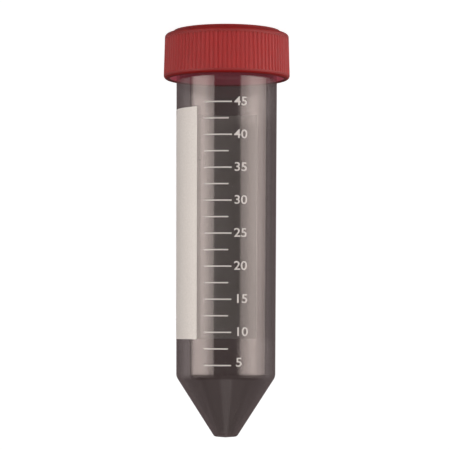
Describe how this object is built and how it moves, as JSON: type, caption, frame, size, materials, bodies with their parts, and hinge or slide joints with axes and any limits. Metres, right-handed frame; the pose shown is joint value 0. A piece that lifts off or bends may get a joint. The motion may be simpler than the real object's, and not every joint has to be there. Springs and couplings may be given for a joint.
{
  "type": "conical centrifuge tube",
  "caption": "Graduated lab tube with a conical end, a white writing patch and a ribbed screw cap that unscrews on a coarse thread.",
  "frame": {"origin": "centre of the cap's flat top face, on which the closed tube stands", "axes": "+Z along the tube's axis from the cap to the conical tip; -Y is the front, with the graduation lines; the writing patch starts on the +X side"},
  "size_m": [0.0358, 0.0358, 0.115],
  "materials": {
    "smoky_plastic": "gloss, smoky translucent",
    "red_plastic": "satin",
    "liner_foam": "matt foam",
    "white_ink": "matt print"
  },
  "bodies": {
    "cap": {"cap": "red_plastic"},
    "liner": {"sealing_liner": "liner_foam"},
    "tube": {"tube": "smoky_plastic", "writing_patch": "white_ink", "graduation_lines": "white_ink"}
  },
  "joints": [
    {"name": "tube_turn", "type": "hinge", "parent": "cap", "child": "liner", "pos_m": [0, 0, 0], "axis": [0, 0, 1], "range_deg": [0, 1080]},
    {"name": "tube_lift", "type": "slide", "parent": "liner", "child": "tube", "axis": [0, 0, 1], "range_m": [0, 0.012]}
  ],
  "couplings": [
    {"joint": "tube_lift", "follows": "tube_turn", "m_per_rad": 0.00063662}
  ]
}
